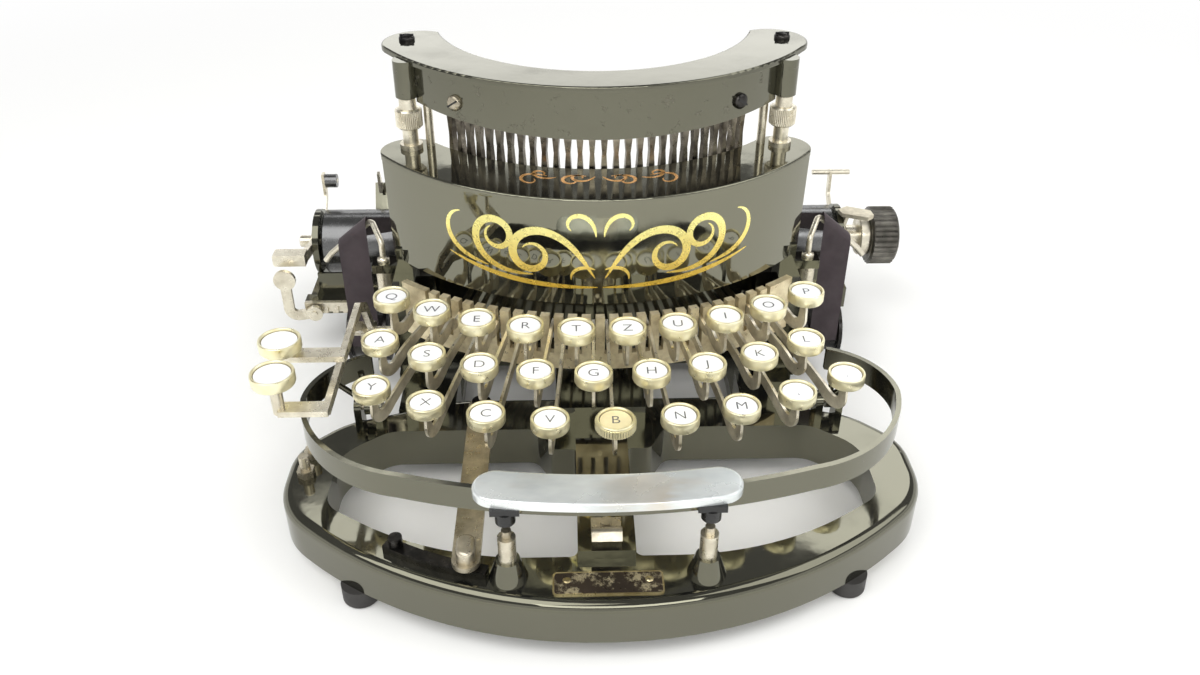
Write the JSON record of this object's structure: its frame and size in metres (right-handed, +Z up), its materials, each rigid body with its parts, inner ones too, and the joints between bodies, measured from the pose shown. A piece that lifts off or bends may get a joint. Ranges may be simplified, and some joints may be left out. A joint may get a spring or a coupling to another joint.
{
  "type": "keyed typewriter",
  "caption": "Small keyed typewriter with a curved three-row keyboard, upright type basket behind a half-round shield, raised cover, low sliding platen carriage and space bar.",
  "frame": {"origin": "on the table under the middle of the whole machine", "axes": "-Y towards the typist, +X to the right seen from the keyboard, +Z up"},
  "size_m": [0.314, 0.2994, 0.1661],
  "materials": {
    "japan": "gloss black japan, lightly chipped",
    "nickel": "aged bright nickel plate",
    "steel": "dull steel",
    "dark_steel": "blackened steel",
    "key": "nickel ring and lever, white card under glass",
    "platen_rubber": "hard black rubber",
    "foot_rubber": "black rubber",
    "ribbon": "inked cotton ribbon",
    "pearl": "satin",
    "plate_brass": "black enamel with a brass edge",
    "iron": "gloss black japan"
  },
  "bodies": {
    "base": {"base_casting": "iron", "base_fittings": "nickel", "cover_pillars": "nickel", "frame_castings": "iron", "key_comb": "nickel", "nameplate": "plate_brass", "nuts_and_screws": "nickel", "pivot_wires": "steel", "ribbon": "ribbon", "ribbon_brackets": "nickel", "rubber_feet": "foot_rubber", "segment_blocks": "iron", "type_cover": "japan", "type_shield": "japan", "typebars": "nickel"},
    "space_bar_hoop": {"space_hoop": "japan", "space_bar": "pearl"},
    "shift_cradle": {"shift_cradle": "japan"},
    "carriage": {"carriage_frame": "japan", "paper_table": "japan"},
    "platen": {"platen": "platen_rubber"},
    "line_space_lever": {"line_space_lever": "nickel"},
    "platen_release": {"platen_release": "nickel"},
    "carriage_release": {"carriage_release": "nickel"},
    "mainspring_drum": {"mainspring_drum": "nickel"},
    "spool_left": {"spool_left": "dark_steel"},
    "spool_right": {"spool_right": "dark_steel"},
    "selector_lever": {"selector_lever": "nickel"},
    "shift_lever_upper": {"shift_lever_upper": "key"},
    "shift_lever_lower": {"shift_lever_lower": "key"},
    "typebar_live_a": {"typebar_live_a": "nickel"},
    "typebar_live_b": {"typebar_live_b": "nickel"},
    "key_back_1": {"key_back_1": "key"},
    "key_middle_1": {"key_middle_1": "key"},
    "key_front_1": {"key_front_1": "key"},
    "key_back_2": {"key_back_2": "key"},
    "key_middle_2": {"key_middle_2": "key"},
    "key_front_2": {"key_front_2": "key"},
    "key_back_3": {"key_back_3": "key"},
    "key_middle_3": {"key_middle_3": "key"},
    "key_front_3": {"key_front_3": "key"},
    "key_back_4": {"key_back_4": "key"},
    "key_middle_4": {"key_middle_4": "key"},
    "key_front_4": {"key_front_4": "key"},
    "key_back_5": {"key_back_5": "key"},
    "key_middle_5": {"key_middle_5": "key"},
    "key_front_5": {"key_front_5": "key"},
    "key_back_6": {"key_back_6": "key"},
    "key_middle_6": {"key_middle_6": "key"},
    "key_front_6": {"key_front_6": "key"},
    "key_back_7": {"key_back_7": "key"},
    "key_middle_7": {"key_middle_7": "key"},
    "key_front_7": {"key_front_7": "key"},
    "key_back_8": {"key_back_8": "key"},
    "key_middle_8": {"key_middle_8": "key"},
    "key_front_8": {"key_front_8": "key"},
    "key_back_9": {"key_back_9": "key"},
    "key_middle_9": {"key_middle_9": "key"},
    "key_front_9": {"key_front_9": "key"},
    "key_back_10": {"key_back_10": "key"}
  },
  "joints": [
    {"name": "key_back_1_press", "type": "hinge", "parent": "base", "child": "key_back_1", "pos_m": [-0.03006, 0.04758, 0.045], "axis": [0.7796, -0.6263, 0], "range_deg": [0, 5.5], "stiffness_Nm_per_rad": 0.12, "springref_deg": -11.46},
    {"name": "key_middle_1_press", "type": "hinge", "parent": "base", "child": "key_middle_1", "pos_m": [-0.02809, 0.04608, 0.045], "axis": [0.8108, -0.5853, 0], "range_deg": [0, 5.5], "stiffness_Nm_per_rad": 0.12, "springref_deg": -11.46},
    {"name": "key_front_1_press", "type": "hinge", "parent": "base", "child": "key_front_1", "pos_m": [-0.02605, 0.04469, 0.045], "axis": [0.8399, -0.5428, 0], "range_deg": [0, 5.5], "stiffness_Nm_per_rad": 0.12, "springref_deg": -11.46},
    {"name": "key_back_2_press", "type": "hinge", "parent": "base", "child": "key_back_2", "pos_m": [-0.02394, 0.0434, 0.045], "axis": [0.8667, -0.4989, 0], "range_deg": [0, 5.5], "stiffness_Nm_per_rad": 0.12, "springref_deg": -11.46},
    {"name": "key_middle_2_press", "type": "hinge", "parent": "base", "child": "key_middle_2", "pos_m": [-0.02177, 0.04222, 0.045], "axis": [0.8912, -0.4536, 0], "range_deg": [0, 5.5], "stiffness_Nm_per_rad": 0.12, "springref_deg": -11.46},
    {"name": "key_front_2_press", "type": "hinge", "parent": "base", "child": "key_front_2", "pos_m": [-0.01954, 0.04116, 0.045], "axis": [0.9134, -0.4071, 0], "range_deg": [0, 5.5], "stiffness_Nm_per_rad": 0.12, "springref_deg": -11.46},
    {"name": "key_back_3_press", "type": "hinge", "parent": "base", "child": "key_back_3", "pos_m": [-0.01726, 0.04021, 0.045], "axis": [0.9331, -0.3596, 0], "range_deg": [0, 5.5], "stiffness_Nm_per_rad": 0.12, "springref_deg": -11.46},
    {"name": "key_middle_3_press", "type": "hinge", "parent": "base", "child": "key_middle_3", "pos_m": [-0.01493, 0.03938, 0.045], "axis": [0.9504, -0.3111, 0], "range_deg": [0, 5.5], "stiffness_Nm_per_rad": 0.12, "springref_deg": -11.46},
    {"name": "key_front_3_press", "type": "hinge", "parent": "base", "child": "key_front_3", "pos_m": [-0.01256, 0.03867, 0.045], "axis": [0.9651, -0.2618, 0], "range_deg": [0, 5.5], "stiffness_Nm_per_rad": 0.12, "springref_deg": -11.46},
    {"name": "key_back_4_press", "type": "hinge", "parent": "base", "child": "key_back_4", "pos_m": [-0.01016, 0.03809, 0.045], "axis": [0.9773, -0.2117, 0], "range_deg": [0, 5.5], "stiffness_Nm_per_rad": 0.12, "springref_deg": -11.46},
    {"name": "key_middle_4_press", "type": "hinge", "parent": "base", "child": "key_middle_4", "pos_m": [-0.00774, 0.03763, 0.045], "axis": [0.9869, -0.1612, 0], "range_deg": [0, 5.5], "stiffness_Nm_per_rad": 0.12, "springref_deg": -11.46},
    {"name": "key_front_4_press", "type": "hinge", "parent": "base", "child": "key_front_4", "pos_m": [-0.00529, 0.03729, 0.045], "axis": [0.9939, -0.1102, 0], "range_deg": [0, 5.5], "stiffness_Nm_per_rad": 0.6, "springref_deg": -11.46},
    {"name": "key_back_5_press", "type": "hinge", "parent": "base", "child": "key_back_5", "pos_m": [-0.00283, 0.03708, 0.045], "axis": [0.9983, -0.0589, 0], "range_deg": [0, 5.5], "stiffness_Nm_per_rad": 0.12, "springref_deg": -11.46},
    {"name": "key_middle_5_press", "type": "hinge", "parent": "base", "child": "key_middle_5", "pos_m": [-0.00036, 0.037, 0.045], "axis": [1, -0.0074, 0], "range_deg": [0, 5.5], "stiffness_Nm_per_rad": 0.12, "springref_deg": -11.46},
    {"name": "key_front_5_press", "type": "hinge", "parent": "base", "child": "key_front_5", "pos_m": [0.00212, 0.03705, 0.045], "axis": [0.999, 0.0441, 0], "range_deg": [0, 5.5], "stiffness_Nm_per_rad": 0.12, "springref_deg": -11.46},
    {"name": "key_back_6_press", "type": "hinge", "parent": "base", "child": "key_back_6", "pos_m": [0.00458, 0.03722, 0.045], "axis": [0.9954, 0.0954, 0], "range_deg": [0, 5.5], "stiffness_Nm_per_rad": 0.12, "springref_deg": -11.46},
    {"name": "key_middle_6_press", "type": "hinge", "parent": "base", "child": "key_middle_6", "pos_m": [0.00703, 0.03752, 0.045], "axis": [-0.9892, -0.1465, 0], "range_deg": [-5.5, 0], "stiffness_Nm_per_rad": 0.6, "springref_deg": 11.46},
    {"name": "key_front_6_press", "type": "hinge", "parent": "base", "child": "key_front_6", "pos_m": [0.00947, 0.03794, 0.045], "axis": [0.9804, 0.1972, 0], "range_deg": [0, 5.5], "stiffness_Nm_per_rad": 0.12, "springref_deg": -11.46},
    {"name": "key_back_7_press", "type": "hinge", "parent": "base", "child": "key_back_7", "pos_m": [0.01188, 0.03849, 0.045], "axis": [0.9689, 0.2474, 0], "range_deg": [0, 5.5], "stiffness_Nm_per_rad": 0.12, "springref_deg": -11.46},
    {"name": "key_middle_7_press", "type": "hinge", "parent": "base", "child": "key_middle_7", "pos_m": [0.01425, 0.03917, 0.045], "axis": [0.9549, 0.297, 0], "range_deg": [0, 5.5], "stiffness_Nm_per_rad": 0.12, "springref_deg": -11.46},
    {"name": "key_front_7_press", "type": "hinge", "parent": "base", "child": "key_front_7", "pos_m": [0.01659, 0.03996, 0.045], "axis": [0.9383, 0.3457, 0], "range_deg": [0, 5.5], "stiffness_Nm_per_rad": 0.12, "springref_deg": -11.46},
    {"name": "key_back_8_press", "type": "hinge", "parent": "base", "child": "key_back_8", "pos_m": [0.01889, 0.04087, 0.045], "axis": [0.9193, 0.3936, 0], "range_deg": [0, 5.5], "stiffness_Nm_per_rad": 0.12, "springref_deg": -11.46},
    {"name": "key_middle_8_press", "type": "hinge", "parent": "base", "child": "key_middle_8", "pos_m": [0.02114, 0.0419, 0.045], "axis": [0.8978, 0.4403, 0], "range_deg": [0, 5.5], "stiffness_Nm_per_rad": 0.12, "springref_deg": -11.46},
    {"name": "key_front_8_press", "type": "hinge", "parent": "base", "child": "key_front_8", "pos_m": [0.02333, 0.04305, 0.045], "axis": [0.874, 0.486, 0], "range_deg": [0, 5.5], "stiffness_Nm_per_rad": 0.12, "springref_deg": -11.46},
    {"name": "key_back_9_press", "type": "hinge", "parent": "base", "child": "key_back_9", "pos_m": [0.02545, 0.04431, 0.045], "axis": [0.8478, 0.5303, 0], "range_deg": [0, 5.5], "stiffness_Nm_per_rad": 0.12, "springref_deg": -11.46},
    {"name": "key_middle_9_press", "type": "hinge", "parent": "base", "child": "key_middle_9", "pos_m": [0.02752, 0.04567, 0.045], "axis": [0.8194, 0.5732, 0], "range_deg": [0, 5.5], "stiffness_Nm_per_rad": 0.12, "springref_deg": -11.46},
    {"name": "key_front_9_press", "type": "hinge", "parent": "base", "child": "key_front_9", "pos_m": [0.0295, 0.04714, 0.045], "axis": [0.7888, 0.6146, 0], "range_deg": [0, 5.5], "stiffness_Nm_per_rad": 0.12, "springref_deg": -11.46},
    {"name": "key_back_10_press", "type": "hinge", "parent": "base", "child": "key_back_10", "pos_m": [0.03141, 0.04871, 0.045], "axis": [0.7561, 0.6544, 0], "range_deg": [0, 5.5], "stiffness_Nm_per_rad": 0.12, "springref_deg": -11.46},
    {"name": "typebar_live_a_swing", "type": "hinge", "parent": "base", "child": "typebar_live_a", "pos_m": [-0.01194, -0.00723, 0.064], "axis": [-0.9917, 0.1284, 0], "range_deg": [0, 90]},
    {"name": "typebar_live_b_swing", "type": "hinge", "parent": "base", "child": "typebar_live_b", "pos_m": [0.01194, -0.00723, 0.064], "axis": [0.9917, 0.1284, 0], "range_deg": [-90, 0]},
    {"name": "space_bar_press", "type": "hinge", "parent": "base", "child": "space_bar_hoop", "pos_m": [0, -0.043, 0.033], "axis": [1, 0, 0], "range_deg": [0, 2.5], "stiffness_Nm_per_rad": 3, "springref_deg": -5.73},
    {"name": "shift_upper_press", "type": "hinge", "parent": "base", "child": "shift_lever_upper", "pos_m": [0, -0.011, 0.05], "axis": [1, 0, 0], "range_deg": [0, 6], "stiffness_Nm_per_rad": 0.2, "springref_deg": -5.73},
    {"name": "shift_lower_press", "type": "hinge", "parent": "base", "child": "shift_lever_lower", "pos_m": [0, -0.011, 0.05], "axis": [1, 0, 0], "range_deg": [0, 4], "stiffness_Nm_per_rad": 0.4, "springref_deg": -11.46},
    {"name": "cradle_shift", "type": "slide", "parent": "base", "child": "shift_cradle", "axis": [0, 1, 0], "range_m": [0, 0.004]},
    {"name": "carriage_travel", "type": "slide", "parent": "shift_cradle", "child": "carriage", "axis": [1, 0, 0], "range_m": [-0.1, 0.105]},
    {"name": "platen_turn", "type": "hinge", "parent": "carriage", "child": "platen", "pos_m": [0, 0.085, 0.0435], "axis": [1, 0, 0], "continuous": true},
    {"name": "line_space_pull", "type": "hinge", "parent": "carriage", "child": "line_space_lever", "pos_m": [0, 0.085, 0.0435], "axis": [1, 0, 0], "range_deg": [0, 25], "stiffness_Nm_per_rad": 0.1, "springref_deg": -11.46},
    {"name": "platen_release_pull", "type": "hinge", "parent": "carriage", "child": "platen_release", "pos_m": [0, 0.085, 0.0435], "axis": [-1, 0, 0], "range_deg": [0, 20]},
    {"name": "carriage_release_press", "type": "hinge", "parent": "carriage", "child": "carriage_release", "pos_m": [-0.139, 0.085, 0.022], "axis": [0, 1, 0], "range_deg": [0, 20], "stiffness_Nm_per_rad": 0.05, "springref_deg": -11.46},
    {"name": "mainspring_turn", "type": "hinge", "parent": "base", "child": "mainspring_drum", "pos_m": [-0.038, 0.1372, 0], "axis": [0, 0, 1], "range_deg": [-720, 720]},
    {"name": "spool_left_turn", "type": "hinge", "parent": "base", "child": "spool_left", "pos_m": [0, 0.025, 0.026], "axis": [1, 0, 0], "continuous": true},
    {"name": "spool_right_turn", "type": "hinge", "parent": "base", "child": "spool_right", "pos_m": [0, 0.025, 0.026], "axis": [1, 0, 0], "continuous": true},
    {"name": "selector_swing", "type": "hinge", "parent": "base", "child": "selector_lever", "pos_m": [-0.05, -0.0415, 0], "axis": [0, 0, -1], "range_deg": [0, 12]}
  ],
  "couplings": [
    {"joint": "typebar_live_a_swing", "follows": "key_front_4_press", "ratio": 16.364},
    {"joint": "typebar_live_b_swing", "follows": "key_middle_6_press", "ratio": 16.364},
    {"joint": "cradle_shift", "follows": "shift_upper_press", "m_per_rad": 0.038197},
    {"joint": "mainspring_turn", "follows": "carriage_travel", "rad_per_m": 83.333}
  ]
}
